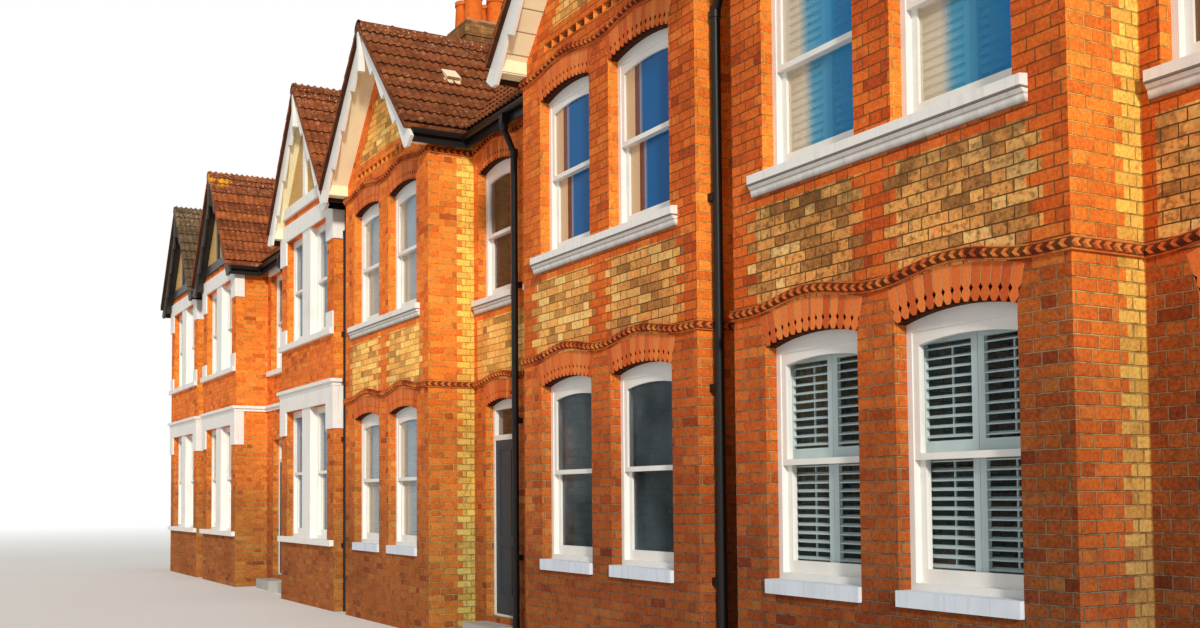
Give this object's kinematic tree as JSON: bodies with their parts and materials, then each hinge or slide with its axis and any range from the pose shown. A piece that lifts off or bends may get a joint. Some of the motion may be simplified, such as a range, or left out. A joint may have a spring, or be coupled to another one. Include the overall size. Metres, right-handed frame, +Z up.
{
  "type": "terraced house row",
  "caption": "Row of brick terraced houses in mirrored pairs, with gabled bays, pointed brick arches, sash windows, scalloped bargeboards and shared chimney stacks.",
  "frame": {"origin": "centre of the overall footprint at ground level", "axes": "+X along the row to the right as seen from the street, -Y out of the street front, +Z up"},
  "size_m": [27.756, 7.0609, 9.025],
  "materials": {
    "red_brick": "matte",
    "stock_brick": "matte",
    "floor_boards": "matte",
    "rubbed_brick": "matte",
    "white_render": "matte",
    "white_joinery": "satin",
    "window_glass": "gloss",
    "door_timber": "satin",
    "step_stone": "matte",
    "brown_tiles": "matte",
    "grey_tiles": "matte",
    "red_tiles": "matte",
    "cream_boards": "satin",
    "dark_joinery": "satin",
    "black_iron": "satin",
    "terracotta": "matte"
  },
  "bodies": {
    "root": {"bay_front_1": "red_brick", "bay_front_2": "red_brick", "bay_front_3": "red_brick", "bay_front_4": "red_brick", "bay_front_5": "red_brick", "bay_front_6": "red_brick", "bay_side_walls": "red_brick", "recessed_walls": "stock_brick", "end_walls": "stock_brick", "party_walls": "stock_brick", "rear_wall": "stock_brick", "ground_floor": "floor_boards", "first_floor": "floor_boards", "ground_arches": "rubbed_brick", "upper_arches": "rubbed_brick", "string_courses": "rubbed_brick", "upper_sills": "white_render", "ground_sills": "white_render", "rendered_lintels": "white_render", "rendered_sills": "white_render", "rendered_cornices": "white_render", "window_frames_ground": "white_joinery", "window_frames_upper": "white_joinery", "sashes": "white_joinery", "sash_glass": "window_glass", "shutters": "white_joinery", "rear_windows": "white_joinery", "rear_glass": "window_glass", "rear_sills": "white_render", "front_doors": "door_timber", "front_door_frames": "white_joinery", "rear_doors": "door_timber", "doorsteps": "step_stone", "front_roof_slope": "brown_tiles", "rear_roof_slope": "brown_tiles", "bay_roofs_brown": "brown_tiles", "bay_roof_1": "grey_tiles", "bay_roof_2": "red_tiles", "bay_roof_3": "red_tiles", "ridge_tiles": "brown_tiles", "verge_soffits": "cream_boards", "gable_ties": "white_joinery", "bargeboards_white": "white_joinery", "bargeboards_dark": "dark_joinery", "eaves_boards": "black_iron", "gutters": "black_iron", "downpipes": "black_iron", "chimney_stacks": "stock_brick", "chimney_pots": "terracotta"}
  },
  "joints": []
}
